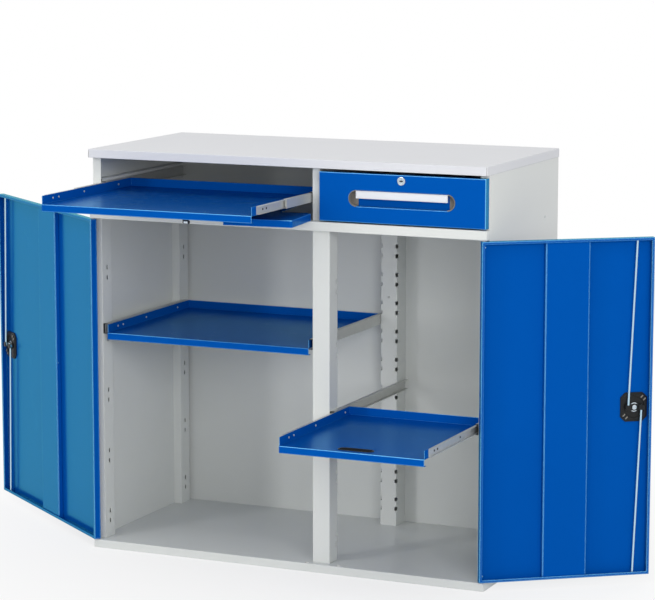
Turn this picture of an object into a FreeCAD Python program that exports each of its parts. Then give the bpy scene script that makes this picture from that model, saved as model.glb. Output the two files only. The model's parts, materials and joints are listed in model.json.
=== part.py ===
import FreeCAD, Part
import math
import os

# Steel computer cabinet. Millimetres, +Z up, front towards -Y.
# The origin is on the floor, in the middle of the worktop's footprint.
# The pose is the one in use: doors folded back, keyboard tray and right shelf pulled out.

# Overall
worktop_width = 1097.6
worktop_depth = 520.0
overall_height = 1050.0
sheet = 1.2
worktop_sheet = 1.5
edge_round = 2.0
touch_gap = 0.3
running_gap = 0.05
past = 1.0

# Worktop, base and rail
worktop_skirt = 22.0
worktop_lip = 12.0
worktop_overhang = 1.8
front_setback = 22.0
base_height = 21.0
base_flange = 15.0
base_inset = 2.0
base_rail_width = 60.0
rail_height = 24.0
upper_zone = 133.0

# Side panels, posts and uprights
side_flange = 24.0
left_bay_width = 599.0
post_width = 47.0
post_depth = 48.0
rear_post_depth = 60.0
divider_width = 21.0
upright_depth = 50.0
rear_upright_gap = 12.8
hook_slot_width = 6.0
hook_slot_height = 11.0
hook_slot_edge = 7.0
hook_slot_step = 27.0
hook_pair_pitch = 162.0
first_hook = 37.0
corner_slot_width = 5.0
corner_slot_depth = 9.0
corner_slot_height = 10.0
corner_slot_step = 26.0
corner_pair_pitch = 76.0
first_corner_slot = 42.0

# Telescopic slides: a cabinet rail, a middle rail and a runner, each a C channel
slide_width = 12.0
slide_height = 26.0
slide_length = 450.0
slide_setback = 8.0
runner_setback = 27.0
middle_setback = 10.0
middle_shorter = 20.0
carriage_length = 80.0
carriage_setback = 2.0
shelf_rail_gap = 5.8
bracket_height = 40.0

# Pull-out trays
tray_depth = 460.0
tray_wall = 21.0
tray_lip = 18.0
tray_hem = 12.0
tray_front_gap = 2.0
keyboard_rise = 46.0
keyboard_pull = 324.0
printer_floor = 570.0
shelf_floor = 390.0
shelf_depth = 420.0
shelf_pull = 325.0
grip_length = 88.0
grip_width = 26.0
grip_setback = 19.0
catch_width = 16.0
catch_drop = 11.0
catch_from_middle = 105.0

# Swing-out mouse tray under the keyboard tray
mouse_drop = 25.0
mouse_width = 180.0
mouse_depth = 160.0
mouse_reach = 115.0
mouse_arm_width = 60.0
mouse_arm_length = 121.0
mouse_arm_tail = 28.0
mouse_angle = 6.0
mouse_corner = 6.0
mouse_corner_cut = 15.0
mouse_pivot_from_back = 50.0
mouse_pivot_from_wall = 104.0
pivot_radius = 5.0
pivot_neck_radius = 9.0
pivot_head_radius = 14.0
pivot_head = 3.0
swivel_disc = 5.0
swivel_disc_radius = 44.0
pivot_hub_radius = 13.0
pivot_hub = 12.0

# Drawer
drawer_front_depth = 21.5
drawer_gap_below = 3.5
drawer_gap_above = 7.5
drawer_gap_side = 7.5
drawer_edge_inset = 2.0
drawer_lip = 25.0
drawer_box_depth = 428.0
drawer_box_rise = 8.0
drawer_box_height = 87.0
drawer_slide_rise = 50.0
grip_bar_length = 282.0
grip_bar_height = 41.5
grip_bar_above = 39.0
grip_bar_depth = 18.0
grip_bar_proud = 1.0
grip_cap_length = 20.0
label_height = 19.0
label_depth = 4.0
lock_below_top = 14.5
lock_radius = 8.5
lock_head_radius = 10.5
lock_head = 2.0
lock_length = 17.0
lock_cam_length = 30.0
lock_cam_width = 10.0
lock_cam_sheet = 2.0
grip_rim = 3.0

# Doors
door_depth = 18.0
door_inset = 1.0
door_gap = 2.0
door_lip = 7.0
door_middle_gap = 2.0
door_split = 32.5
pin_from_side = 8.0
pin_from_front = 6.0
pin_radius = 3.0
pin_collar_radius = 5.5
knuckle_wall = 1.5
knuckle_length = 12.0
left_opening_angle = 217.5
right_opening_angle = 216.5
left_rod_lean = -1
right_rod_lean = 1
stiffener_width = 113.0
stiffener_depth = 14.0
stiffener_sheet = 1.0
left_stiffener_from_pin = 246.0
right_stiffener_from_pin = 153.0

# Door locks and locking rods
lock_from_edge = 42.5
housing_width = 69.0
housing_height = 73.0
housing_chamfer = 12.0
housing_depth = 6.0
spindle_radius = 6.0
spindle_clearance = 1.0
cam_sheet = 2.0
cam_reach = 17.0
cam_half_width = 8.0
cam_pin_radius = 2.5
cam_pin_length = 6.1
rod_radius = 2.8
rod_eye_radius = 5.5
rod_eye_depth = 5.0
rod_end_gap = 0.5
rod_slot_gap = 0.7
strike_radius = 6.0
plate_width = 46.0
plate_height = 108.0
plate_depth = 4.0
handle_length = 80.0
handle_width = 18.0
handle_depth = 14.0
handle_boss_radius = 14.0
barrel_radius = 7.0
barrel_length = 11.0
barrel_proud = 1.0

# Levels and planes that follow from the sizes above
worktop_bottom = overall_height - worktop_skirt
ceiling = overall_height - worktop_sheet
rail_top = worktop_bottom - upper_zone
rail_bottom = rail_top - rail_height
floor_bottom = rail_top - sheet
half_worktop = worktop_width / 2
worktop_front = -worktop_depth / 2
worktop_back = worktop_depth / 2
half_body = half_worktop - worktop_overhang
half_inner = half_body - sheet
half_bay = half_body - side_flange
body_front = worktop_front + front_setback
body_back = worktop_back - worktop_overhang
inner_back = body_back - sheet
base_front = worktop_front + base_inset
post_left = left_bay_width - half_bay
post_right = post_left + post_width
divider_right = post_left + divider_width
slide_front = body_front + slide_setback
shelf_rail_length = inner_back - shelf_rail_gap - slide_front

door_front = worktop_front + door_inset
door_bottom = base_height + door_gap
door_top = rail_bottom - door_gap
pin_x = half_body - pin_from_side
pin_y = door_front + pin_from_front
split_x = post_left + door_split
left_door_reach = pin_x + split_x - door_middle_gap / 2
right_door_reach = pin_x - split_x - door_middle_gap / 2
door_face = pin_from_front
door_inner_face = door_face - sheet
door_rear = door_face - door_depth
lock_height = (door_top + door_bottom) / 2
cam_front = door_inner_face - housing_depth - touch_gap
cam_rear = cam_front - cam_sheet
rod_line = cam_rear - touch_gap - rod_radius
plate_face = door_face + plate_depth
handle_back = plate_face + touch_gap
sway_angle = math.asin(2 / math.pi)
rod_sway = cam_reach * (math.cos(sway_angle) - 1 + sway_angle / (math.pi / 2))

keyboard_floor = rail_top + keyboard_rise
keyboard_front = body_front + tray_front_gap - keyboard_pull
printer_front = body_front + tray_front_gap
shelf_front = body_front + tray_front_gap - shelf_pull
mouse_top = keyboard_floor - mouse_drop
mouse_pivot_x = post_left - slide_width - mouse_pivot_from_wall
mouse_pivot_y = keyboard_front + tray_depth - mouse_pivot_from_back

drawer_face = worktop_front
drawer_back_face = drawer_face + drawer_front_depth
drawer_left = divider_right + drawer_gap_side
drawer_right = half_body - drawer_edge_inset
drawer_bottom = rail_top + drawer_gap_below
drawer_top = worktop_bottom - drawer_gap_above
drawer_middle = (drawer_left + drawer_right) / 2
drawer_box_left = divider_right + slide_width
drawer_box_right = half_bay - slide_width
drawer_slide_level = rail_top + drawer_slide_rise
grip_bottom = drawer_bottom + grip_bar_above
grip_top = grip_bottom + grip_bar_height
grip_left = drawer_middle - grip_bar_length / 2
grip_right = drawer_middle + grip_bar_length / 2
lock_level = drawer_top - lock_below_top

UP = FreeCAD.Vector(0, 0, 1)
BACK = FreeCAD.Vector(0, 1, 0)


def vec(x, y, z):
    return FreeCAD.Vector(x, y, z)


def box(x0, x1, y0, y1, z0, z1):
    return Part.makeBox(x1 - x0, y1 - y0, z1 - z0, vec(x0, y0, z0))


def post(x, y, z0, z1, radius):
    """Upright cylinder."""
    return Part.makeCylinder(radius, z1 - z0, vec(x, y, z0), UP)


def bar(x, z, y0, y1, radius):
    """Cylinder along Y."""
    return Part.makeCylinder(radius, y1 - y0, vec(x, y0, z), BACK)


def prism(points, direction):
    """Straight-sided block on a closed outline."""
    outline = Part.makePolygon(points + points[:1])
    return Part.Face(outline).extrude(direction)


def obround(x0, x1, z0, z1, y0, y1):
    """Block along Y whose outline has half-round left and right ends."""
    radius = (z1 - z0) / 2
    middle = z0 + radius
    block = box(x0 + radius, x1 - radius, y0, y1, z0, z1)
    ends = [bar(x0 + radius, middle, y0, y1, radius), bar(x1 - radius, middle, y0, y1, radius)]
    return block.fuse(ends).removeSplitter()


def edges_where(shape, test):
    """Edges whose two ends both pass the test."""
    chosen = []
    for edge in shape.Edges:
        ends = [vertex.Point for vertex in edge.Vertexes]
        if len(ends) == 2 and all(test(end) for end in ends):
            chosen.append(edge)
    return chosen


def near(a, b):
    return abs(a - b) < 1e-6


def upright_edges(shape):
    """Edges that run straight up."""
    chosen = []
    for edge in shape.Edges:
        ends = [vertex.Point for vertex in edge.Vertexes]
        if len(ends) == 2 and near(ends[0].x, ends[1].x) and near(ends[0].y, ends[1].y):
            chosen.append(edge)
    return chosen


def rounded(shape, radius, *tests):
    """Round every edge that lies wholly where one of the tests holds."""
    chosen = []
    for test in tests:
        chosen += edges_where(shape, test)
    return shape.makeFillet(radius, chosen)


def mirrored(shape):
    return shape.mirror(vec(0, 0, 0), vec(1, 0, 0))


def save(name, *solids):
    """Write one piece, or a group of like pieces, to its own file."""
    shape = solids[0] if len(solids) == 1 else Part.makeCompound(list(solids))
    for solid in shape.Solids:
        if not solid.isValid():
            raise ValueError(name + " is not a valid solid")
    if len(shape.Solids) != len(solids):
        raise ValueError(name + " is not one solid for each piece")
    shape.exportStep("parts/" + name + ".step")


# Carcass


def worktop():
    """Folded steel top: a shallow tray turned upside down, with a hem under its front edge."""
    outer = box(-half_worktop, half_worktop, worktop_front, worktop_back, worktop_bottom, overall_height)

    def on_top(point):
        return near(point.z, overall_height)

    outer = outer.makeFillet(edge_round, upright_edges(outer) + edges_where(outer, on_top))
    x_in = half_worktop - worktop_sheet
    y_in = worktop_depth / 2 - worktop_sheet
    hollow = box(-x_in, x_in, -y_in, y_in, worktop_bottom + worktop_sheet, ceiling)
    mouth = box(-x_in, x_in, -y_in + worktop_lip, y_in, worktop_bottom - past, ceiling - past)
    return outer.cut([hollow, mouth])


def side_panel():
    """Right side sheet with its front edge folded inwards."""
    outer = box(half_bay, half_body, body_front, inner_back, base_height, ceiling)

    def front_corner(point):
        return near(point.x, half_body) and near(point.y, body_front)

    outer = rounded(outer, edge_round, front_corner)
    y0, y1 = body_front + sheet, inner_back + past
    return outer.cut(box(half_bay - past, half_inner, y0, y1, base_height - past, ceiling + past))


def back_panel():
    return box(-half_body, half_body, inner_back, body_back, base_height, ceiling)


def rod_line_y():
    """Depth of the locking rods behind a closed door."""
    return pin_y - rod_line


def strike_holes(z0, z1):
    """Clearance holes that the hinge pins and the locking rods of both doors enter."""
    left_rod_x = left_door_reach - lock_from_edge - pin_x
    right_rod_x = pin_x - right_door_reach + lock_from_edge
    holes = [post(x, pin_y, z0, z1, pin_radius + running_gap) for x in (-pin_x, pin_x)]
    holes += [post(x, rod_line_y(), z0, z1, strike_radius) for x in (left_rod_x, right_rod_x)]
    return holes


def base_pan():
    """Cabinet floor, folded down all round and hemmed inwards at the ground."""
    outer = box(-half_body, half_body, base_front, body_back, 0, base_height)

    def front_top(point):
        return near(point.y, base_front) and near(point.z, base_height)

    corners = [edge for edge in upright_edges(outer) if near(edge.Vertexes[0].Y, base_front)]
    outer = outer.makeFillet(edge_round, corners + edges_where(outer, front_top))
    hollow = box(-half_inner, half_inner, base_front + sheet, inner_back, sheet, base_height - sheet)
    x_in = half_inner - base_flange
    y0, y1 = base_front + sheet + base_flange, inner_back - base_flange
    mouth = box(-x_in, x_in, y0, y1, -past, base_height / 2)
    return outer.cut([hollow, mouth] + strike_holes(base_height - sheet - past, base_height + past))


def base_rail():
    """Stiffening channel under the cabinet floor. It stands on the ground."""
    half = base_rail_width / 2
    y0 = base_front + sheet + base_flange + touch_gap
    y1 = inner_back - base_flange - touch_gap
    outer = box(-half, half, y0, y1, 0, base_height - sheet)
    hollow = box(-half + sheet, half - sheet, y0 - past, y1 + past, sheet, base_height)
    return outer.cut(hollow)


def mid_rail():
    """Cross rail between the doors and the upper compartments, open at the back."""
    outer = box(-half_body, half_body, base_front, body_front, rail_bottom, rail_top)

    def front_edge(point):
        return near(point.y, base_front)

    outer = rounded(outer, edge_round, front_edge)
    y0, y1 = base_front + sheet, body_front + past
    hollow = box(-half_inner, half_inner, y0, y1, rail_bottom + sheet, floor_bottom)
    return outer.cut([hollow] + strike_holes(rail_bottom - past, rail_bottom + sheet + past))


def intermediate_floor():
    """Sheet between the upper compartments and the bays behind the doors."""
    step = body_front + sheet
    points = [
        vec(-half_inner, step, floor_bottom),
        vec(-half_bay, step, floor_bottom),
        vec(-half_bay, body_front, floor_bottom),
        vec(half_bay, body_front, floor_bottom),
        vec(half_bay, step, floor_bottom),
        vec(half_inner, step, floor_bottom),
        vec(half_inner, inner_back, floor_bottom),
        vec(-half_inner, inner_back, floor_bottom),
    ]
    return prism(points, vec(0, 0, sheet))


def folded_post(x0, x1, y_face, y_open, z0, z1):
    """U channel: a face at y_face, with two sides running to y_open."""
    low, high = min(y_face, y_open), max(y_face, y_open)
    outer = box(x0, x1, low, high, z0, z1)

    corners = [edge for edge in upright_edges(outer) if near(edge.Vertexes[0].Y, y_face)]
    outer = outer.makeFillet(edge_round, corners)
    way = 1 if y_open > y_face else -1
    inner_low, inner_high = sorted((y_face + way * sheet, y_open + way * past))
    return outer.cut(box(x0 + sheet, x1 - sheet, inner_low, inner_high, z0 - past, z1 + past))


def pair_levels(first, step, pitch, height):
    """Heights of slots: pairs at an even pitch between base and rail."""
    levels = []
    level = base_height + first
    while level + step + height < rail_bottom:
        levels += [level, level + step]
        level += pitch
    return levels


def hook_levels():
    return pair_levels(first_hook, hook_slot_step, hook_pair_pitch, hook_slot_height)


def corner_levels():
    return pair_levels(first_corner_slot, corner_slot_step, corner_pair_pitch, corner_slot_height)


def hook_slots(x0, x1, y_middle):
    half = hook_slot_width / 2
    return [box(x0, x1, y_middle - half, y_middle + half, z, z + hook_slot_height) for z in hook_levels()]


def upper_divider():
    return folded_post(post_left, divider_right, body_front, inner_back, rail_top, ceiling)


def centre_front_post():
    y_open = body_front + post_depth
    body = folded_post(post_left, post_right, body_front, y_open, base_height, floor_bottom)
    return body.cut(hook_slots(post_left - past, post_right + past, y_open - hook_slot_edge))


def centre_rear_post():
    """Post against the back, its hook slots cut over both front corners."""
    y_face = inner_back - rear_post_depth
    body = folded_post(post_left, post_right, y_face, inner_back, base_height, floor_bottom)
    slots = []
    for z in corner_levels():
        for x, way in ((post_left, 1), (post_right, -1)):
            x0, x1 = sorted((x - way * past, x + way * corner_slot_width))
            slots.append(box(x0, x1, y_face - past, y_face + corner_slot_depth, z, z + corner_slot_height))
    return body.cut(slots)


def upright(y0):
    """Slotted channel against the right side panel."""
    y1 = y0 + upright_depth
    outer = box(half_bay, half_inner, y0, y1, base_height, floor_bottom)
    z0, z1 = base_height - past, floor_bottom + past
    hollow = box(half_bay + sheet, half_inner + past, y0 + sheet, y1 - sheet, z0, z1)
    return outer.cut([hollow] + hook_slots(half_bay - past, half_bay + 2 * sheet, (y0 + y1) / 2))


def slide_bracket(level):
    """Channel on the right side panel that carries a cabinet rail of the upper compartments."""
    low = level - bracket_height / 2
    high = level + bracket_height / 2
    y0, y1 = slide_front, slide_front + slide_length
    outer = box(half_bay, half_inner, y0, y1, low, high)
    x0, x1 = half_bay + sheet, half_inner + past
    return outer.cut(box(x0, x1, y0 - past, y1 + past, low + sheet, high - sheet))


def hinge_pins():
    """Stub pins with a collar, in the rail above and in the base below each door."""
    reach = sheet + knuckle_length
    pins = []
    for x in (-pin_x, pin_x):
        lower = post(x, pin_y, base_height, door_bottom, pin_collar_radius)
        lower = lower.fuse(post(x, pin_y, base_height - sheet - past, door_bottom + reach, pin_radius))
        upper = post(x, pin_y, door_top + touch_gap, rail_bottom, pin_collar_radius)
        upper = upper.fuse(post(x, pin_y, door_top - reach, rail_bottom + sheet + past, pin_radius))
        pins += [lower.removeSplitter(), upper.removeSplitter()]
    return pins


# Slides


def channel(wall, way, near_side, far_side, half, y0, y1, level, web_near):
    """C channel along Y. near_side and far_side are distances from the wall, way is +1 or -1 in X."""
    x0, x1 = sorted((wall + way * near_side, wall + way * far_side))
    outer = box(x0, x1, y0, y1, level - half, level + half)
    cut_near = near_side + sheet if web_near else near_side - past
    cut_far = far_side + past if web_near else far_side - sheet
    c0, c1 = sorted((wall + way * cut_near, wall + way * cut_far))
    return outer.cut(box(c0, c1, y0 - past, y1 + past, level - half + sheet, level + half - sheet))


def slide_pair(left_wall, right_wall, near_side, far_side, half, y0, y1, level, web_near):
    left = channel(left_wall, 1, near_side, far_side, half, y0, y1, level, web_near)
    right = channel(right_wall, -1, near_side, far_side, half, y0, y1, level, web_near)
    return left, right


cabinet_half = slide_height / 2
middle_half = cabinet_half - sheet - touch_gap
runner_half = middle_half - sheet - touch_gap
middle_near = 2 * sheet
middle_far = slide_width - sheet
runner_near = middle_near + 2 * sheet


def cabinet_rails(left_wall, right_wall, level, length):
    y0, y1 = slide_front, slide_front + length
    far_side = middle_far - touch_gap
    return slide_pair(left_wall, right_wall, 0, far_side, cabinet_half, y0, y1, level, True)


def middle_rails(left_wall, right_wall, level, y0, length):
    y1 = y0 + length
    return slide_pair(left_wall, right_wall, middle_near, middle_far, middle_half, y0, y1, level, True)


def runners(left_wall, right_wall, level, y0, length):
    y1 = y0 + length
    return slide_pair(left_wall, right_wall, runner_near, slide_width, runner_half, y0, y1, level, False)


# Trays


def pull_out_tray(x0, x1, y_front, depth, floor):
    """Tray with a hemmed lip down at the front, and walls up at the sides and back."""
    y_back = y_front + depth
    lip = box(x0, x1, y_front, y_front + tray_hem, floor - tray_lip, floor)

    def front_edge(point):
        return near(point.y, y_front)

    level = [edge for edge in edges_where(lip, front_edge) if edge.BoundBox.ZLength < edge.BoundBox.XLength]
    lip = lip.makeFillet(edge_round, level)
    y0, y1 = y_front + sheet, y_front + tray_hem + past
    lip = lip.cut(box(x0 - past, x1 + past, y0, y1, floor - tray_lip + sheet, floor - sheet))
    y_wall = y_front + edge_round
    top = floor + tray_wall
    pieces = [
        box(x0, x1, y_front + tray_hem, y_back, floor - sheet, floor),
        box(x0, x0 + sheet, y_wall, y_back, floor - sheet, top),
        box(x1 - sheet, x1, y_wall, y_back, floor - sheet, top),
        box(x0, x1, y_back - sheet, y_back, floor - sheet, top),
    ]
    return lip.fuse(pieces).removeSplitter()


def slide_level(floor):
    """Height of the slides beside a tray's walls."""
    return floor + tray_wall / 2


def tray_runners(left_wall, right_wall, y_front, floor, length):
    """Runners on a tray's walls, which start behind the walls' front ends."""
    level = slide_level(floor)
    return runners(left_wall, right_wall, level, y_front + runner_setback, length - runner_setback)


def keyboard_tray():
    return pull_out_tray(
        -half_bay + slide_width, post_left - slide_width, keyboard_front, tray_depth, keyboard_floor
    )


def printer_shelf():
    return pull_out_tray(
        -half_bay + slide_width, post_left - slide_width, printer_front, tray_depth, printer_floor
    )


def right_shelf():
    """Shelf of the right bay, with a hand grip slot behind its lip."""
    x0, x1 = post_right + slide_width, half_bay - slide_width
    tray = pull_out_tray(x0, x1, shelf_front, shelf_depth, shelf_floor)
    middle = (x0 + x1) / 2
    slot_y = shelf_front + grip_setback
    radius = grip_width / 2
    straight = grip_length / 2 - radius
    low, high = shelf_floor - 2 * sheet, shelf_floor + sheet
    slot = box(middle - straight, middle + straight, slot_y, slot_y + grip_width, low, high)
    ends = [post(middle + s * straight, slot_y + radius, low, high, radius) for s in (-1, 1)]
    return tray.cut([slot] + ends)


def keyboard_catch():
    """Sprung clip behind the keyboard tray's lip, a bent strip with a rounded nose."""
    x = (post_left - half_bay) / 2 + catch_from_middle
    half = catch_width / 2
    y0 = keyboard_front + tray_hem + touch_gap
    under = keyboard_floor - sheet
    nose_z = keyboard_floor - tray_lip - catch_drop + catch_width / 4
    nose_radius = catch_width / 4
    foot = box(x - half, x + half, y0, y0 + catch_width, under - sheet, under)
    strip = box(x - half, x + half, y0, y0 + sheet, nose_z, under)
    nose = Part.makeCylinder(nose_radius, catch_width, vec(x - half, y0 + nose_radius, nose_z), vec(1, 0, 0))
    return strip.fuse([foot, nose]).removeSplitter()


def mouse_pivot_bolt():
    """Bolt hanging from the keyboard tray, its head under the mouse tray's arm."""
    head_top = mouse_top - sheet - touch_gap
    head = post(mouse_pivot_x, mouse_pivot_y, head_top - pivot_head, head_top, pivot_head_radius)
    shank = post(mouse_pivot_x, mouse_pivot_y, head_top - pivot_head, keyboard_floor - sheet, pivot_radius)
    return head.fuse(shank).removeSplitter()


def mouse_swivel_disc():
    """Steel disc with a neck, which turns on the bolt and carries the arm."""
    low = mouse_top - sheet
    high = keyboard_floor - sheet - touch_gap
    neck = post(mouse_pivot_x, mouse_pivot_y, low, high, pivot_neck_radius)
    disc = post(mouse_pivot_x, mouse_pivot_y, high - swivel_disc, high, swivel_disc_radius)
    bore = post(mouse_pivot_x, mouse_pivot_y, low - past, high + past, pivot_radius + running_gap)
    return neck.fuse(disc).cut(bore).removeSplitter()


def corner_cut_block(x0, x1, y0, y1, z0, z1, cut):
    """Box with its rear right upright edge cut off at 45 degrees."""
    plan = [(x0, y0), (x1, y0), (x1, y1 - cut), (x1 - cut, y1), (x0, y1)]
    return prism([vec(x, y, z0) for x, y in plan], vec(0, 0, z1 - z0))


def mouse_tray():
    """Plate with its edges folded down, on an arm that turns about the swivel disc's neck.

    The cut corner passes the divider as the tray folds in.
    """
    x0, x1 = mouse_reach - mouse_width, mouse_reach
    y1 = -mouse_arm_length
    y0 = y1 - mouse_depth
    low = mouse_top - tray_lip
    outer = corner_cut_block(x0, x1, y0, y1, low, mouse_top, mouse_corner_cut)

    def on_top(point):
        return near(point.z, mouse_top)

    outer = outer.makeFillet(mouse_corner, upright_edges(outer))
    outer = rounded(outer, edge_round, on_top)
    inner_cut = mouse_corner_cut - (2 - math.sqrt(2)) * sheet
    hollow = corner_cut_block(
        x0 + sheet, x1 - sheet, y0 + sheet, y1 - sheet, low - past, mouse_top - sheet, inner_cut,
    )
    hollow = hollow.makeFillet(mouse_corner - sheet, upright_edges(hollow))
    plate = outer.cut(hollow)
    half = mouse_arm_width / 2
    arm = box(-half, half, y1 - edge_round, 0, mouse_top - sheet, mouse_top)
    tail = post(0, 0, mouse_top - sheet, mouse_top, mouse_arm_tail)
    hub = post(0, 0, mouse_top, mouse_top + pivot_hub, pivot_hub_radius)
    bore = post(0, 0, mouse_top - 2 * sheet, mouse_top + pivot_hub + past, pivot_neck_radius + running_gap)
    tray = plate.fuse([arm, tail, hub]).cut(bore).removeSplitter()
    tray.rotate(vec(0, 0, 0), UP, mouse_angle)
    tray.translate(vec(mouse_pivot_x, mouse_pivot_y, 0))
    return tray


# Drawer


def drawer_front():
    """Hollow front with a lip at the back, the grip cut-out and the lock's holes."""
    outer = box(drawer_left, drawer_right, drawer_face, drawer_back_face, drawer_bottom, drawer_top)

    def on_face(point):
        return near(point.y, drawer_face)

    outer = rounded(outer, edge_round, on_face)
    y_in, y_lip = drawer_face + sheet, drawer_back_face - sheet
    hollow = box(
        drawer_left + sheet, drawer_right - sheet, y_in, y_lip, drawer_bottom + sheet, drawer_top - sheet
    )
    mouth = box(
        drawer_left + drawer_lip, drawer_right - drawer_lip, y_in, drawer_back_face + past,
        drawer_bottom + drawer_lip, drawer_top - drawer_lip,
    )
    grip = obround(grip_left, grip_right, grip_bottom, grip_top, drawer_face - past, y_in + past)
    lock = bar(drawer_middle, lock_level, drawer_face - past, y_in + past, lock_radius + running_gap)
    cam_y = drawer_face + lock_length
    cam_x = drawer_middle - lock_cam_width / 2
    slot = box(
        cam_x - past, drawer_middle + lock_cam_length, cam_y - past, cam_y + lock_cam_sheet + past,
        drawer_top - 2 * sheet, drawer_top + past,
    )
    return outer.cut([hollow, mouth, grip, lock, slot])


def drawer_box():
    """Floor and four walls: five sheets, welded where they meet."""
    x0, x1 = drawer_box_left, drawer_box_right
    y0, y1 = drawer_back_face, drawer_back_face + drawer_box_depth
    z0 = rail_top + drawer_box_rise
    z1 = z0 + drawer_box_height
    floor = z0 + sheet
    return [
        box(x0, x1, y0, y1, z0, floor),
        box(x0, x0 + sheet, y0, y1, floor, z1),
        box(x1 - sheet, x1, y0, y1, floor, z1),
        box(x0 + sheet, x1 - sheet, y0, y0 + sheet, floor, z1),
        box(x0 + sheet, x1 - sheet, y1 - sheet, y1, floor, z1),
    ]


def drawer_grip_trough():
    """Finger hollow behind the cut-out, between the two end caps. Its rim lies on the front's inside."""
    x0, x1 = grip_left + grip_cap_length, grip_right - grip_cap_length
    y0, y1 = drawer_face + sheet, drawer_face + grip_bar_depth
    outer = box(x0, x1, y0, y1, grip_bottom - grip_rim, grip_top + grip_rim)
    return outer.cut(box(x0 - past, x1 + past, y0 - past, y1 - sheet, grip_bottom + sheet, grip_top - sheet))


def drawer_grip_caps():
    """Half-round end caps with a scooped inner side, standing slightly proud."""
    inset = touch_gap
    y0, y1 = drawer_face - grip_bar_proud, drawer_face + grip_bar_depth
    whole = obround(grip_left + inset, grip_right - inset, grip_bottom + inset, grip_top - inset, y0, y1)
    x0, x1 = grip_left + grip_cap_length, grip_right - grip_cap_length
    whole = whole.cut(box(x0, x1, y0 - past, y1 + past, grip_bottom - past, grip_top + past))
    radius = grip_bar_height / 2
    scoops = [bar(x, grip_bottom + radius, y0 - past, y1 - 2 * sheet, radius - 2 * sheet) for x in (x0, x1)]
    return whole.cut(scoops).Solids


def drawer_label_bar():
    """Label holder across the upper half of the grip, from cap to cap."""
    x0, x1 = grip_left + grip_cap_length, grip_right - grip_cap_length
    y0 = drawer_face - grip_bar_proud / 2
    top = grip_top - sheet - touch_gap
    frame = box(x0, x1, y0, y0 + label_depth, top - label_height, top)
    window = box(x0 + sheet, x1 - sheet, y0 - past, y0 + sheet, top - label_height + sheet, top - sheet)
    return frame.cut(window)


def drawer_lock_barrel():
    """Cylinder lock: head, barrel and a cam at the back that turns up behind the worktop's hem."""
    head = bar(drawer_middle, lock_level, drawer_face - lock_head, drawer_face, lock_head_radius)
    barrel = bar(drawer_middle, lock_level, drawer_face, drawer_face + lock_length, lock_radius)
    cam_y = drawer_face + lock_length
    half = lock_cam_width / 2
    cam = box(
        drawer_middle, drawer_middle + lock_cam_length, cam_y, cam_y + lock_cam_sheet,
        lock_level - half, lock_level + half,
    )
    disc = bar(drawer_middle, lock_level, cam_y, cam_y + lock_cam_sheet, half)
    keyway = box(
        drawer_middle - sheet / 2, drawer_middle + sheet / 2, drawer_face - lock_head - past, drawer_face,
        lock_level - half, lock_level + half,
    )
    return head.fuse([barrel, cam, disc]).removeSplitter().cut(keyway)


# Doors. Each is built with its hinge pin at the origin: X runs to the free edge, Y to the outer face.


def door_panel(reach, lean):
    """Folded door: face, four edges and a lip all round the back, with a knuckle at each end."""
    x0, x1 = -pin_from_side, reach
    outer = box(x0, x1, door_rear, door_face, door_bottom, door_top)

    def on_face(point):
        return near(point.y, door_face)

    outer = rounded(outer, edge_round, on_face)
    z0, z1 = door_bottom + sheet, door_top - sheet
    hollow = box(x0 + sheet, x1 - sheet, door_rear + sheet, door_inner_face, z0, z1)
    mouth = box(
        x0 + door_lip, x1 - door_lip, door_rear - past, door_inner_face - past,
        door_bottom + door_lip, door_top - door_lip,
    )
    panel = outer.cut([hollow, mouth])
    knuckle_radius = pin_radius + knuckle_wall
    knuckles = [
        post(0, 0, door_bottom, z0 + knuckle_length, knuckle_radius),
        post(0, 0, z1 - knuckle_length, door_top, knuckle_radius),
    ]
    panel = panel.fuse(knuckles)
    bore = pin_radius + running_gap
    spindle_hole = spindle_radius + spindle_clearance
    holes = [
        post(0, 0, door_bottom - past, z0 + knuckle_length + past, bore),
        post(0, 0, z1 - knuckle_length - past, door_top + past, bore),
        bar(reach - lock_from_edge, lock_height, door_inner_face - past, door_face + past, spindle_hole),
    ]
    return panel.cut(holes + rod_slots(reach, lean)).removeSplitter()


def rod_slots(reach, lean):
    """Slots in the door's top and bottom edges. Each leaves room for the rod's sideways sway."""
    middle = reach - lock_from_edge
    room = rod_radius + rod_slot_gap
    y0, y1 = rod_line - room, rod_line + room
    slots = []
    for way, edge in ((1, door_top), (-1, door_bottom)):
        low, high = sorted((middle, middle - lean * way * rod_sway))
        slots.append(box(low - room, high + room, y0, y1, edge - 2 * sheet, edge + 2 * sheet))
    return slots


def door_stiffener(start):
    """Shallow channel welded to the inside of the door's face, from edge to edge."""
    x0, x1 = start, start + stiffener_width
    y0 = door_inner_face - stiffener_depth
    z0, z1 = door_bottom + sheet, door_top - sheet
    outer = box(x0, x1, y0, door_inner_face, z0, z1)

    corners = [edge for edge in upright_edges(outer) if near(edge.Vertexes[0].Y, y0)]
    outer = outer.makeFillet(edge_round, corners)
    x_in0, x_in1 = x0 + stiffener_sheet, x1 - stiffener_sheet
    return outer.cut(box(x_in0, x_in1, y0 + stiffener_sheet, door_inner_face + past, z0 - past, z1 + past))


def lock_housing(reach):
    """Eight-sided lock case on the inside of the door."""
    middle = reach - lock_from_edge
    half_w, half_h = housing_width / 2, housing_height / 2
    inner_w, inner_h = half_w - housing_chamfer, half_h - housing_chamfer
    y = door_inner_face - housing_depth
    outline = [
        (-inner_w, -half_h), (inner_w, -half_h), (half_w, -inner_h), (half_w, inner_h),
        (inner_w, half_h), (-inner_w, half_h), (-half_w, inner_h), (-half_w, -inner_h),
    ]
    points = [vec(middle + x, y, lock_height + z) for x, z in outline]
    case = prism(points, vec(0, housing_depth, 0))
    return case.cut(bar(middle, lock_height, y - past, door_inner_face + past, spindle_radius + running_gap))


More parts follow.
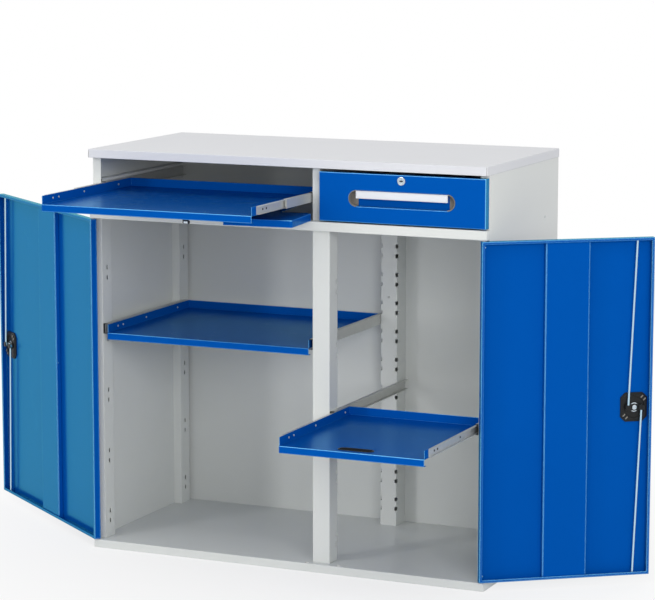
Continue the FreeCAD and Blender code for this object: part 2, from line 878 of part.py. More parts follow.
def lock_plate(reach):
    """Rounded cover plate under the handle, on the outer face."""
    middle = reach - lock_from_edge
    half = plate_width / 2
    straight = plate_height / 2 - half
    low, high = lock_height - straight, lock_height + straight
    plate = box(middle - half, middle + half, door_face, plate_face, low, high)
    ends = [bar(middle, z, door_face, plate_face, half) for z in (low, high)]
    plate = plate.fuse(ends).removeSplitter()
    spindle_hole = spindle_radius + spindle_clearance
    return plate.cut(bar(middle, lock_height, door_face - past, plate_face + past, spindle_hole))


def lock_cam(reach):
    """Two-armed cam with a pin for each rod, on the spindle that the handle turns."""
    middle = reach - lock_from_edge
    arm = box(
        middle - cam_reach, middle + cam_reach, cam_rear, cam_front,
        lock_height - cam_half_width, lock_height + cam_half_width,
    )
    ends = [bar(middle + s * cam_reach, lock_height, cam_rear, cam_front, cam_half_width) for s in (-1, 1)]
    pins = [
        bar(middle + s * cam_reach, lock_height, cam_rear - cam_pin_length, cam_rear, cam_pin_radius)
        for s in (-1, 1)
    ]
    spindle = bar(middle, lock_height, cam_front, handle_back, spindle_radius)
    return arm.fuse(ends + pins + [spindle]).removeSplitter()


def lock_handle(reach):
    """Wing handle, with a round boss that holds the key barrel."""
    middle = reach - lock_from_edge
    front = handle_back + handle_depth
    boss = bar(middle, lock_height, handle_back, front, handle_boss_radius)
    half = handle_width / 2
    wing = obround(
        middle - handle_length / 2, middle + handle_length / 2, lock_height - half, lock_height + half,
        handle_back + plate_depth, front,
    )
    socket = bar(middle, lock_height, front - barrel_length, front + past, barrel_radius + running_gap)
    return boss.fuse(wing).removeSplitter().cut(socket)


def key_barrel(reach):
    """Key barrel in the handle's boss."""
    middle = reach - lock_from_edge
    front = handle_back + handle_depth
    barrel = bar(middle, lock_height, front - barrel_length + touch_gap, front + barrel_proud, barrel_radius)
    half = barrel_radius / 2
    keyway = box(
        middle - sheet / 2, middle + sheet / 2, front - barrel_proud, front + barrel_proud + past,
        lock_height - half, lock_height + half,
    )
    return barrel.cut(keyway)


def locking_rod(reach, lean, way):
    """Rod from a cam pin to the door's top (way +1) or bottom (way -1) edge, with an eye on the pin.

    A lean of +1 puts the upper rod's pin on the hinge side of the spindle, and -1 on the other side.
    """
    middle = reach - lock_from_edge
    pin = vec(middle - lean * way * cam_reach, rod_line, lock_height)
    end_level = door_top - rod_end_gap if way > 0 else door_bottom + rod_end_gap
    end = vec(middle, rod_line, end_level)
    run = end - pin
    shaft = Part.makeCylinder(rod_radius, run.Length, pin, run)
    half = rod_eye_depth / 2
    eye = bar(pin.x, pin.z, rod_line - half, rod_line + half, rod_eye_radius)
    y0, y1 = rod_line - rod_radius - past, rod_line + rod_radius + past
    hole = bar(pin.x, pin.z, y0, y1, cam_pin_radius + running_gap)
    return shaft.fuse(eye).removeSplitter().cut(hole)


def hang(shape, opening):
    """Turn a door's piece to its open pose and move it to the right-hand hinge pin."""
    shape.rotate(vec(0, 0, 0), UP, opening - 180)
    shape.translate(vec(pin_x, pin_y, 0))
    return shape


def save_door(side, reach, opening, stiffener_start, lean):
    pieces = {
        "door_panel": door_panel(reach, lean),
        "door_stiffener": door_stiffener(stiffener_start),
        "lock_housing": lock_housing(reach),
        "lock_plate": lock_plate(reach),
        "lock_cam": lock_cam(reach),
        "lock_handle": lock_handle(reach),
        "key_barrel": key_barrel(reach),
        "upper_rod": locking_rod(reach, lean, 1),
        "lower_rod": locking_rod(reach, lean, -1),
    }
    for name, piece in pieces.items():
        hung = hang(piece, opening)
        save(side + "_" + name, mirrored(hung) if side == "left" else hung)


def save_carcass():
    right_panel = side_panel()
    save("worktop", worktop())
    save("left_side_panel", mirrored(right_panel))
    save("right_side_panel", right_panel)
    save("back_panel", back_panel())
    save("base_pan", base_pan())
    save("base_rail", base_rail())
    save("mid_rail", mid_rail())
    save("intermediate_floor", intermediate_floor())
    save("upper_divider", upper_divider())
    save("centre_front_post", centre_front_post())
    save("centre_rear_post", centre_rear_post())
    front = upright(body_front + sheet)
    rear = upright(inner_back - rear_upright_gap - upright_depth)
    save("left_uprights", mirrored(front), mirrored(rear))
    save("right_uprights", front, rear)
    save("keyboard_slide_bracket", mirrored(slide_bracket(slide_level(keyboard_floor))))
    save("drawer_slide_bracket", slide_bracket(drawer_slide_level))
    save("hinge_pins", *hinge_pins())


def save_left_pull_outs():
    """Keyboard tray and printer shelf, which share the left bay's width."""
    left, right = -half_bay, post_left
    level = slide_level(keyboard_floor)
    middle_y = slide_front + middle_setback
    middle_length = slide_length - middle_shorter
    save("keyboard_cabinet_rails", *cabinet_rails(left, right, level, slide_length))
    keyboard_middle = middle_rails(left, right, level, middle_y - keyboard_pull / 2, middle_length)
    save("keyboard_middle_rails", *keyboard_middle)
    save("keyboard_runners", *tray_runners(left, right, keyboard_front, keyboard_floor, slide_length))
    save("keyboard_tray", keyboard_tray())
    save("keyboard_catch", keyboard_catch())
    save("mouse_pivot_bolt", mouse_pivot_bolt())
    save("mouse_swivel_disc", mouse_swivel_disc())
    save("mouse_tray", mouse_tray())

    level = slide_level(printer_floor)
    save("printer_cabinet_rails", *cabinet_rails(left, right, level, slide_length))
    save("printer_middle_rails", *middle_rails(left, right, level, middle_y, middle_length))
    save("printer_runners", *tray_runners(left, right, printer_front, printer_floor, slide_length))
    save("printer_shelf", printer_shelf())


def save_right_shelf():
    left, right = post_right, half_bay
    level = slide_level(shelf_floor)
    save("shelf_cabinet_rails", *cabinet_rails(left, right, level, shelf_rail_length))
    carriage_y = slide_front + carriage_setback
    save("shelf_carriages", *middle_rails(left, right, level, carriage_y, carriage_length))
    save("shelf_runners", *tray_runners(left, right, shelf_front, shelf_floor, shelf_depth))
    save("right_shelf", right_shelf())


def save_drawer():
    left, right = divider_right, half_bay
    length = drawer_box_depth - slide_setback
    save("drawer_cabinet_rails", *cabinet_rails(left, right, drawer_slide_level, length))
    middle_y = slide_front + middle_setback
    drawer_middle_rails = middle_rails(left, right, drawer_slide_level, middle_y, length - middle_shorter)
    save("drawer_middle_rails", *drawer_middle_rails)
    save("drawer_runners", *runners(left, right, drawer_slide_level, drawer_back_face, length))
    save("drawer_front", drawer_front())
    save("drawer_box", *drawer_box())
    save("drawer_grip_trough", drawer_grip_trough())
    save("drawer_grip_caps", *drawer_grip_caps())
    save("drawer_label_bar", drawer_label_bar())
    save("drawer_lock_barrel", drawer_lock_barrel())


os.makedirs("parts", exist_ok=True)
save_carcass()
save_left_pull_outs()
save_right_shelf()
save_drawer()
save_door("left", left_door_reach, left_opening_angle, left_stiffener_from_pin, left_rod_lean)
save_door("right", right_door_reach, right_opening_angle, right_stiffener_from_pin, right_rod_lean)
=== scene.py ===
import json
import math

import bmesh
import bpy
from mathutils import Matrix, Vector


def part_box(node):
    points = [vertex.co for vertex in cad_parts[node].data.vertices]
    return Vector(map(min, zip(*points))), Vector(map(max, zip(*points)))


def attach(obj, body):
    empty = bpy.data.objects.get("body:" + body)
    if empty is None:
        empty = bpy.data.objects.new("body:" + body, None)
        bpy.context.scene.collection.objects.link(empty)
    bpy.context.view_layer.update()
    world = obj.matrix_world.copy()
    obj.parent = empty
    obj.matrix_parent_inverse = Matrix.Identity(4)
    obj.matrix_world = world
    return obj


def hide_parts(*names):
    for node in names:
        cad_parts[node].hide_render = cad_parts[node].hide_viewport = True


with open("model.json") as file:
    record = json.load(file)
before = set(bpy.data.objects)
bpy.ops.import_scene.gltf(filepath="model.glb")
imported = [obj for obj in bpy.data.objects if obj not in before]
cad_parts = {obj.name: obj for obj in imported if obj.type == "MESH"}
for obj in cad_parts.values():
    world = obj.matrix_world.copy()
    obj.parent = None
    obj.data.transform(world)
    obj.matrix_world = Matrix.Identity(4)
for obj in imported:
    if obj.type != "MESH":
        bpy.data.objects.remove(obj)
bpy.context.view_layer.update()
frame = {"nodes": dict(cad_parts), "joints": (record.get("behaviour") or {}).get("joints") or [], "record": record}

# Steel computer cabinet: finishes, small fittings, light and camera.
# Metres, +Z up, front towards -Y. MM turns the fittings' sizes in millimetres into metres.
MM = 0.001
FULL_TURN = 2 * math.pi
JOINTS = {joint["name"]: joint for joint in frame["joints"]}

SHEET = 1.2 * MM
FOLD = 2.0 * MM
DOOR_FOLD = 4.0 * MM

# Edges that turn by more than this are shaded sharp, or rounded where a piece asks for it.
SHARP_TURN = math.radians(32)
ROUNDED_TURN = math.radians(40)

# How far the door stiffeners' inner edges stand from the hinge pins.
STIFFENER_EDGE = {"left": 246 * MM, "right": 153 * MM}
STIFFENER_RIVET_LEVEL = 452 * MM

# Setbacks from the front edge of a tray or runner.
TRAY_SCREW_SETBACKS = (54 * MM, 82 * MM, 210 * MM, 390 * MM)
RUNNER_RIVET_SETBACKS = (33 * MM, 53 * MM, 200 * MM, 380 * MM)

# Carcass fasteners, by their places in the cabinet.
SIDE_RIVET_LEVEL = 883 * MM
SIDE_RIVET_DEPTH = 160 * MM
REAR_POST_SCREW_LEVELS = (641 * MM, 241 * MM)

# The photograph's view.
PHOTO_EYE = (2.7521, -6.0767, 1.6984)
PHOTO_LOOK_DOWN = 0.1551
PHOTO_TURN = 0.4239
PHOTO_LENS = 142.9
SENSOR_WIDTH = 36


class Wire:
    """A value in a node tree. Arithmetic adds Math nodes, and add() adds any other node."""

    def __init__(self, tree, socket=None):
        self.tree = tree
        self.socket = socket

    def add(self, kind, settings=None, inputs=None, output=0):
        """Add a node: settings first, then its sockets' values or wires. Gives one output."""
        node = self.tree.nodes.new("ShaderNode" + kind)
        for name, value in (settings or {}).items():
            setattr(node, name, value)
        for name, value in (inputs or {}).items():
            if isinstance(value, Wire):
                value.into(node, name)
            else:
                node.inputs[name].default_value = value
        return Wire(self.tree, node.outputs[output])

    def out(self, output):
        """Another output of the same node."""
        return Wire(self.tree, self.socket.node.outputs[output])

    def into(self, node, name):
        """Link this value into a node's socket."""
        self.tree.links.new(self.socket, node.inputs[name])

    def math(self, operation, first, second):
        return self.add("Math", {"operation": operation}, {0: first, 1: second})

    def __add__(self, other):
        return self.math("ADD", self, other)

    def __sub__(self, other):
        return self.math("SUBTRACT", self, other)

    def __rsub__(self, other):
        return self.math("SUBTRACT", other, self)

    def __mul__(self, other):
        return self.math("MULTIPLY", self, other)

    def __pow__(self, other):
        return self.math("POWER", self, other)

    __radd__ = __add__
    __rmul__ = __mul__

    def blend(self, low, high):
        """Colour between low and high, by this value."""
        return self.add("Mix", {"data_type": "RGBA"}, {0: self, 6: low, 7: high}, output=2)

    def limited(self):
        """This value, kept between zero and one."""
        return self.add("Clamp", inputs={"Value": self})


# Finishes


def toned(colour, share, lift=0.0):
    """Opaque colour with its parts scaled, then lifted."""
    return tuple(part * share + lift for part in colour[:3]) + (1.0,)


def start_finish(name):
    """New material with its shader, and a wire that carries the place on the piece."""
    material = bpy.data.materials.new(name)
    material.use_nodes = True
    shader = material.node_tree.nodes["Principled BSDF"]
    place = Wire(material.node_tree).add("TexCoord", output="Object")
    return material, shader, place


def noise(place, cells, detail=2.0, stretch=(1, 1, 1)):
    """Noise about a half, with so many cells in a metre, stretched by direction."""
    vector = place.add("Mapping", inputs={"Vector": place, "Scale": stretch})
    return place.add("TexNoise", inputs={"Vector": vector, "Scale": cells, "Detail": detail})


def fold_normal(place, radius):
    """Normal that turns softly over a fold or a cut edge, and a mask of the outward edges."""
    soft = place.add("Bevel", {"samples": 6}, {"Radius": radius})
    flat = place.add("NewGeometry", output="Normal")
    both = {0: soft, 1: flat}
    along = place.add("VectorMath", {"operation": "DOT_PRODUCT"}, both, output="Value")
    reach = {"Distance": 3 * radius}
    open_share = place.add("AmbientOcclusion", {"samples": 4}, reach, output="AO")
    outward = (open_share * 3 - 2).limited()
    return soft, ((1 - along) * outward * 6).limited()


def round_folds(place, which):
    """Mask of a square-built piece's rounded folds, "level" or "all".

    They are the faces that lie between the piece's own directions.
    """
    normal = place.add("TexCoord", output="Normal")
    sides = place.add("SeparateXYZ", inputs={"Vector": normal})
    x, y, z = (place.math("ABSOLUTE", sides.out(axis), 0) for axis in "XYZ")
    flat = place.math("MAXIMUM", place.math("MAXIMUM", x, y), z)
    folds = ((1 - flat) * 5).limited()
    return folds if which == "all" else folds * (z * 4).limited()


def bumped(height, depth, normal):
    """Normal with a relief of the given depth on top of another normal."""
    inputs = {"Strength": 1.0, "Distance": depth, "Height": height, "Normal": normal}
    return height.add("Bump", inputs=inputs)


def powder_coat(name, colour, edge_colour, roughness, edge_shine=0.0, fold=FOLD, folds=None):
    """Stoved powder coat: orange peel, faint clouding, lighter over the folds, partly as a thinner coat and partly
    as a painted highlight.

    Gives the material, its shader, the mask of its edges and its relief.
    """
    material, shader, place = start_finish(name)
    peel = noise(place, 520.0, detail=1.0)
    ripple = noise(place, 4.0, detail=1.0)
    cloud = noise(place, 14.0, detail=4.0)
    soft, edge = fold_normal(place, fold)
    # Rounded folds join the edges that get the painted highlight.
    if folds:
        edge = (edge + round_folds(place, folds)).limited()
    body = cloud.blend(toned(colour, 0.965), colour)
    # Painted highlight: edges and folds are painted towards the lighter edge colour, partly a thinner coat there.
    edge.blend(body, edge_colour).into(shader, "Base Color")
    if edge_shine:
        (edge * edge_shine).into(shader, "Metallic")
    # Half of the patterns' shares comes off, so that the mean is the roughness asked for.
    (cloud * 0.05 + peel * 0.04 + (roughness - 0.045) - edge * 0.08).into(shader, "Roughness")
    wavy = bumped(ripple, 0.14 * MM, soft)
    relief = bumped(peel, 0.012 * MM, wavy)
    relief.into(shader, "Normal")
    return material, shader, edge, relief


def light_grey_coat(name, colour):
    """Pale powder coat, worn a little metallic over the folds."""
    # The folds are painted lighter: partly a thinner coat, partly a painted highlight.
    material, shader, _, _ = powder_coat(name, colour, toned(colour, 1.1), 0.32, edge_shine=0.15)
    shader.inputs["Specular IOR Level"].default_value = 0.40
    return material


AZURE_SHEEN = (0.05, 0.60, 0.58, 1)
TRAY_SHEEN = (0.06, 0.42, 0.66, 1)


def deep_blue_coat(name, fold=FOLD, folds=None, sheen=AZURE_SHEEN, sheen_share=0.56):
    """Saturated blue under a clear gloss.

    The gloss shows its sheen where it is seen along the sheet, and glints on folds towards the eye.
    """
    # The edge colour is a lighter blue painted over the folds: partly a thinner coat, partly a painted highlight.
    colour, edge_colour = (0.0005, 0.080, 0.39, 1), (0.02, 0.16, 0.54, 1)
    material, shader, edge, relief = powder_coat(
        name, colour, edge_colour, 0.26, fold=fold, folds=folds
    )
    shader.inputs["Specular IOR Level"].default_value = 0.02
    shader.inputs["Specular Tint"].default_value = (0.1, 0.4, 1, 1)
    body = Wire(material.node_tree, shader.outputs["BSDF"])

    gloss_inputs = {"Color": sheen, "Roughness": 0.22, "Normal": relief}
    gloss = body.add("BsdfAnisotropic", inputs=gloss_inputs)
    along_sheet = body.add("LayerWeight", inputs={"Blend": 0.5}, output="Facing")
    on_sheet = along_sheet ** 2.0 * sheen_share
    coated = body.add("MixShader", inputs={0: on_sheet, 1: body, 2: gloss})

    glint_inputs = {"Color": (0.24, 0.68, 1.0, 1), "Roughness": 0.35, "Normal": relief}
    glint = body.add("BsdfAnisotropic", inputs=glint_inputs)
    facing_inputs = {"Blend": 0.5, "Normal": relief}
    turned_away = body.add("LayerWeight", inputs=facing_inputs, output="Facing")
    on_folds = (edge * (1 - turned_away) ** 4 * 1.8).limited()
    finished = body.add("MixShader", inputs={0: on_folds, 1: coated, 2: glint})
    finished.into(material.node_tree.nodes["Material Output"], "Surface")
    return material


def zinc_plate(name, colour, roughness, grain, metal=1.0):
    """Bright zinc on drawn steel: fine draw lines along the grain, faint patchy passivation."""
    material, shader, place = start_finish(name)
    lines = noise(place, 900.0, stretch=grain)
    patch = noise(place, 45.0, detail=3.0)
    soft, edge = fold_normal(place, 0.5 * MM)
    body = (patch * 0.6 + lines * 0.4).blend(toned(colour, 0.80), colour)
    # Painted highlight: the edges are painted paler.
    highlit_edge_colour = toned(colour, 0.5, lift=0.45)
    (edge * 0.6).blend(body, highlit_edge_colour).into(shader, "Base Color")
    (lines * 0.16 + patch * 0.10 + (roughness - 0.13)).into(shader, "Roughness")
    bumped(lines, 0.006 * MM, soft).into(shader, "Normal")
    shader.inputs["Metallic"].default_value = metal
    return material


def moulded_plastic(name, colour, roughness, grain_depth):
    """Moulded plastic with a fine spark-eroded grain, rubbed smoother over its edges, where its colour is painted
    lighter as a highlight.
    """
    material, shader, place = start_finish(name)
    grain = noise(place, 1400.0, detail=3.0)
    patch = noise(place, 60.0)
    soft, edge = fold_normal(place, 0.5 * MM)
    body = patch.blend(toned(colour, 0.85), colour)
    # Painted highlight: the edges are painted lighter.
    highlit_edge_colour = toned(colour, 1.7, lift=0.012)
    (edge * 0.5).blend(body, highlit_edge_colour).into(shader, "Base Color")
    (grain * 0.12 + (roughness - 0.06) - edge * 0.15).into(shader, "Roughness")
    bumped(grain, grain_depth, soft).into(shader, "Normal")
    shader.inputs["Specular IOR Level"].default_value = 0.25
    return material


def polished_chrome(name):
    """Polished plate with faint swirl marks."""
    material, shader, place = start_finish(name)
    swirl = noise(place, 700.0, stretch=(1, 1, 0.2))
    soft, edge = fold_normal(place, 0.4 * MM)
    # Painted highlight: the base colour is paler over the edges.
    edge.blend((0.55, 0.62, 0.68, 1.0), (0.86, 0.92, 0.97, 1.0)).into(shader, "Base Color")
    (swirl * 0.10 + 0.08).into(shader, "Roughness")
    bumped(swirl, 0.003 * MM, soft).into(shader, "Normal")
    shader.inputs["Metallic"].default_value = 1.0
    return material


def label_card(name, colour):
    """Smooth white card under a clear strip: paper fibre below a glossy face."""
    material, shader, place = start_finish(name)
    fibre = noise(place, 1100.0, detail=3.0, stretch=(0.3, 1, 1))
    soft, edge = fold_normal(place, 0.4 * MM)
    fibre.blend(toned(colour, 0.95), colour).into(shader, "Base Color")
    (fibre * 0.08 + 0.30 + edge * 0.1).into(shader, "Roughness")
    bumped(fibre, 0.004 * MM, soft).into(shader, "Normal")
    shader.inputs["Coat Weight"].default_value = 0.6
    shader.inputs["Coat Roughness"].default_value = 0.08
    return material


grey_coat = light_grey_coat("light_grey_coat", (0.665, 0.685, 0.668, 1))
# The worktop's coat is the grey coat made bluer: a painted reflection of the pale sky on the top.
worktop_coat_with_painted_sky = light_grey_coat("worktop_coat_with_painted_sky", (0.648, 0.658, 0.690, 1))
blue_coat = deep_blue_coat("blue_coat")
tray_blue_coat = deep_blue_coat(
    "tray_blue_coat", folds="level", sheen=TRAY_SHEEN, sheen_share=0.42
)
drawer_blue_coat = deep_blue_coat("drawer_blue_coat", folds="all")
door_blue_coat = deep_blue_coat("door_blue_coat", fold=DOOR_FOLD)
slide_zinc = zinc_plate("slide_zinc", (0.62, 0.63, 0.61, 1), 0.40, (1, 0.03, 1), metal=0.5)
rod_zinc = zinc_plate("rod_zinc", (0.60, 0.82, 0.95, 1), 0.36, (1, 1, 0.03))
lock_black = moulded_plastic("lock_black", (0.012, 0.013, 0.014, 1), 0.42, 0.010 * MM)
lock_chrome = polished_chrome("lock_chrome")
cap_taupe = moulded_plastic("cap_taupe", (0.22, 0.205, 0.185, 1), 0.42, 0.008 * MM)
label_white = label_card("label_white", (0.70, 0.72, 0.77, 1))

SLOT_FINISH = {
    "light_grey_coat": grey_coat,
    "blue_coat": blue_coat,
    "zinc_steel": slide_zinc,
    "black_plastic": lock_black,
    "lock_chrome": lock_chrome,
    "taupe_plastic": cap_taupe,
    "label_white": label_white,
}
NODE_FINISH = {
    "worktop": worktop_coat_with_painted_sky,
    "left_upper_rod": rod_zinc,
    "left_lower_rod": rod_zinc,
    "right_upper_rod": rod_zinc,
    "right_lower_rod": rod_zinc,
    "keyboard_tray": tray_blue_coat,
    "printer_shelf": tray_blue_coat,
    "right_shelf": tray_blue_coat,
    "mouse_tray": tray_blue_coat,
    "drawer_front": drawer_blue_coat,
    "left_door_panel": door_blue_coat,
    "right_door_panel": door_blue_coat,
    "left_door_stiffener": door_blue_coat,
    "right_door_stiffener": door_blue_coat,
}


def coat_cad_nodes():
    """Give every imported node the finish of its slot, or one of its own."""
    for part in frame["record"]["subparts"]:
        name = part["node"]
        finish = NODE_FINISH.get(name, SLOT_FINISH[part["material_slot"]])
        for slot in frame["nodes"][name].material_slots:
            slot.material = finish


# Mesh helpers


def in_mm(*pairs):
    """Pairs of sizes, given in millimetres. A reach by angle is in metres already."""
    return [(size if callable(size) else size * MM, height * MM) for size, height in pairs]


def spun(mesh, rings, place, segments=24, closed=False):
    """Skin a stack of (radius, height) rings about local Z. A radius can be a reach by angle.

    A radius of zero closes an end. A closed stack joins its last ring to its first.
    """
    angles = [FULL_TURN * k / segments for k in range(segments)]
    loops = []
    for radius, height in rings:
        if radius == 0:
            loops.append([mesh.verts.new(place @ Vector((0, 0, height)))] * segments)
            continue
        reach = radius if callable(radius) else lambda angle, r=radius: r
        points = [(reach(a) * math.cos(a), reach(a) * math.sin(a), height) for a in angles]
        loops.append([mesh.verts.new(place @ Vector(point)) for point in points])
    pairs = list(zip(loops, loops[1:]))
    if closed:
        pairs.append((loops[-1], loops[0]))
    for low, high in pairs:
        for k in range(segments):
            following = (k + 1) % segments
            corners = [low[k], low[following], high[following], high[k]]
            mesh.faces.new(list(dict.fromkeys(corners)))


def extruded(mesh, outline, start, run, place):
    """Prism on an outline of (x, z) points, from local Y start over the length run."""
    near = [mesh.verts.new(place @ Vector((x, start, z))) for x, z in outline]
    far = [mesh.verts.new(place @ Vector((x, start + run, z))) for x, z in outline]
    mesh.faces.new(near)
    mesh.faces.new(list(reversed(far)))
    for k in range(len(outline)):
        following = (k + 1) % len(outline)
        mesh.faces.new([near[k], far[k], far[following], near[following]])


def add_piece(name, mesh, body, finish, edge=0.0):
    """Close a mesh into a piece that rides on a body, with rounded edges where asked."""
    bmesh.ops.recalc_face_normals(mesh, faces=mesh.faces)
    data = bpy.data.meshes.new(name)
    mesh.to_mesh(data)
    mesh.free()
    data.materials.append(finish)
    data.shade_smooth()
    data.set_sharp_from_angle(angle=SHARP_TURN)
    piece = bpy.data.objects.new(name, data)
    bpy.context.scene.collection.objects.link(piece)
    if edge:
        rounding = piece.modifiers.new("edge", "BEVEL")
        rounding.width = edge
        rounding.segments = 2
        rounding.limit_method = "ANGLE"
        rounding.angle_limit = ROUNDED_TURN
    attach(piece, body)
    return piece


def add_turned(name, rings, places, body, finish, segments, closed=False, edge=0.0):
    """Piece with one stack of rings spun at each of its places."""
    mesh = bmesh.new()
    for place in places:
        spun(mesh, rings, place, segments, closed)
    return add_piece(name, mesh, body, finish, edge)


def add_heads(name, head, radius, places, body, finish):
    """Piece of equal screw or rivet heads, one at each of its places."""
    mesh = bmesh.new()
    for place in places:
        head(mesh, place, radius)
    return add_piece(name, mesh, body, finish)


def facing(point, direction):
    """Place whose local Z runs along a direction."""
    turn = Vector(direction).to_track_quat("Z", "Y").to_matrix().to_4x4()
    return Matrix.Translation(point) @ turn


def rounded_square(half_x, half_y, power=5):
    """Reach of a rounded rectangle, by angle."""
    def reach(angle):
        across, up = abs(math.cos(angle)) / half_x, abs(math.sin(angle)) / half_y
        return (across ** power + up ** power) ** (-1 / power)
    return reach


def obround(half_length, radius):
    """Reach of a slot with round ends along X, by angle."""
    straight = half_length - radius

    def reach(angle):
        across, up = abs(math.cos(angle)), abs(math.sin(angle))
        if radius * across <= straight * up:
            return radius / up
        return straight * across + math.sqrt(radius ** 2 - (straight * up) ** 2)
    return reach


def screw_head(mesh, place, radius):
    """Pan head with a six-lobe recess."""
    def lobes(share):
        return lambda angle: radius * share * (1 + 0.16 * math.cos(6 * angle))
    rings = [
        (0, 0), (radius, 0), (radius, 0.28 * radius), (0.90 * radius, 0.50 * radius),
        (0.68 * radius, 0.62 * radius), (lobes(0.44), 0.64 * radius),
        (lobes(0.40), 0.30 * radius), (0, 0.26 * radius),
    ]
    spun(mesh, rings, place, segments=36)


def rivet_head(mesh, place, radius):
    """Domed blind rivet with the pulled stem's dimple in its middle."""
    shares = (
        (0, 0), (1, 0), (1, 0.10), (0.86, 0.30), (0.60, 0.44), (0.34, 0.48), (0.30, 0.30),
        (0, 0.34),
    )
    spun(mesh, [(share * radius, height * radius) for share, height in shares], place)


# Doors. A door's own frame has its origin on the hinge pin, X towards the free edge and Y towards
# the outer face.


class Door:
    """One door: where it hangs and the levels that its fittings sit on, in metres."""

    inner_face = 4.8 * MM
    cam_back = -3.5 * MM
    cam_reach = 17.0 * MM
    pin_end = -9.65 * MM
    rod_line = -6.6 * MM
    rod_sway = 3.6 * MM

    def __init__(self, side):
        swing = JOINTS[side + "_door_swing"]
        pin = Vector(swing["pos_m"])
        lock = Vector(JOINTS[side + "_handle_turn"]["pos_m"])
        upper_pin = Vector(JOINTS[side + "_upper_bolt_turn"]["pos_m"])
        opening = max(abs(limit) for limit in swing["range_deg"])
        turn = Matrix.Rotation(math.radians(opening - 180), 4, "Z")
        mirror = Matrix.Diagonal((-1, 1, 1, 1)) if side == "left" else Matrix.Identity(4)
        low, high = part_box(side + "_door_panel")
        self.side = side
        self.body = side + "_door"
        self.place = mirror @ (Matrix.Translation((abs(pin.x), pin.y, 0)) @ turn)
        self.lock_reach = (lock.xy - pin.xy).length
        self.lock_level = lock.z
        self.lean = 1 if (upper_pin.xy - pin.xy).length < self.lock_reach else -1
        self.bottom, self.top = low.z, high.z
        self.stiffener_edge = STIFFENER_EDGE[side]

    def at_lock(self, depth):
        """Place on the lock's axis as seen from inside: local Y up, local Z towards the eye."""
        axes = Matrix(((1, 0, 0, 0), (0, 0, -1, 0), (0, 1, 0, 0), (0, 0, 0, 1)))
        handed = Matrix.Diagonal((self.lean, 1, 1, 1))
        centre = Matrix.Translation((self.lock_reach, depth, self.lock_level))
        return self.place @ centre @ axes @ handed


def case_outline(share):
    """Reach of the eight-sided lock case, by angle."""
    half_width, half_height, corner = 34.5 * MM, 36.5 * MM, 59.0 * MM
    least = 1e-6

    def reach(angle):
        across, up = abs(math.cos(angle)), abs(math.sin(angle))
        flat = min(half_width / max(across, least), half_height / max(up, least))
        return share * min(flat, corner / (across + up))
    return reach


def add_lock_case(door):
    """Black lock case inside the door: stepped rim, round well for the cam, two screws."""
    place = door.at_lock(door.inner_face)
    bore, well, face, screw_offset = 6.4, 3.2, 5.9, 29.6
    outer, chamfer, step, crown = (case_outline(share) for share in (1.0, 0.97, 0.90, 0.87))
    rings = in_mm(
        (bore, 0), (outer, 0), (outer, 3.0), (chamfer, 4.0), (step, 4.2), (crown, face),
        (27.0, face), (26.2, well), (12.6, well), (12.2, 5.0), (bore, 5.0),
    )
    case = add_turned(
        door.side + "_lock_case", rings, [place], door.body, lock_black,
        segments=72, closed=True, edge=0.35 * MM,
    )
    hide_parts(door.side + "_lock_housing")
    add_heads(
        door.side + "_lock_case_screws", screw_head, 1.9 * MM,
        [place @ Matrix.Translation((0, way * screw_offset * MM, face * MM)) for way in (-1, 1)],
        door.body, lock_black,
    )


def add_lock_case_ribs(door):
    """Pairs of ribs in two corners of the lock case, in pale taupe as a painted highlight on the black case, and
    the bright ring round its spindle.
    """
    place = door.at_lock(door.inner_face)
    ribs = bmesh.new()
    half, apart = 1.5 * MM, 4.8 * MM
    bar = in_mm((27.8, 5.6), (37.0, 5.6), (36.2, 7.4), (28.6, 7.4))
    for corner in (45, 225):
        turn = Matrix.Rotation(math.radians(corner), 4, "Z")
        for middle in (-apart, apart):
            extruded(ribs, bar, middle - half, 2 * half, place @ turn)
    # Painted highlight: the ribs are given a lighter plastic than the case.
    add_piece(
        door.side + "_lock_case_ribs", ribs, door.body, cap_taupe, 0.3 * MM
    )
    rings = in_mm((8.6, 5.0), (11.6, 5.0), (11.6, 5.7), (11.0, 6.1), (9.2, 6.1), (8.6, 5.7))
    add_turned(
        door.side + "_spindle_ring", rings, [place], door.body, lock_chrome,
        segments=48, closed=True,
    )


def add_spindle_cap(door):
    """Riveted spindle end on the cam's back, and the clips that keep the rods on its pins."""
    place = door.at_lock(door.cam_back)
    rings = in_mm(
        (0, 0), (6.2, 0), (6.2, 0.8), (5.4, 1.6), (3.8, 2.1), (2.2, 2.2), (1.8, 1.5), (0, 1.4),
    )
    add_turned(
        door.side + "_spindle_cap", rings, [place], door.side + "_lock", lock_chrome,
        segments=48,
    )
    plate = rounded_square(7.2 * MM, 6.2 * MM)
    crown = rounded_square(6.2 * MM, 5.2 * MM)
    rings = in_mm(
        (0, 0), (plate, 0), (plate, 0.9), (crown, 1.5), (2.0, 1.5), (1.6, 0.9), (0, 0.8),
    )
    seat = door.cam_back - door.pin_end
    pins = [place @ Matrix.Translation((way * door.cam_reach, 0, seat)) for way in (-1, 1)]
    add_turned(
        door.side + "_rod_clips", rings, pins, door.side + "_lock", lock_black,
        segments=40,
    )


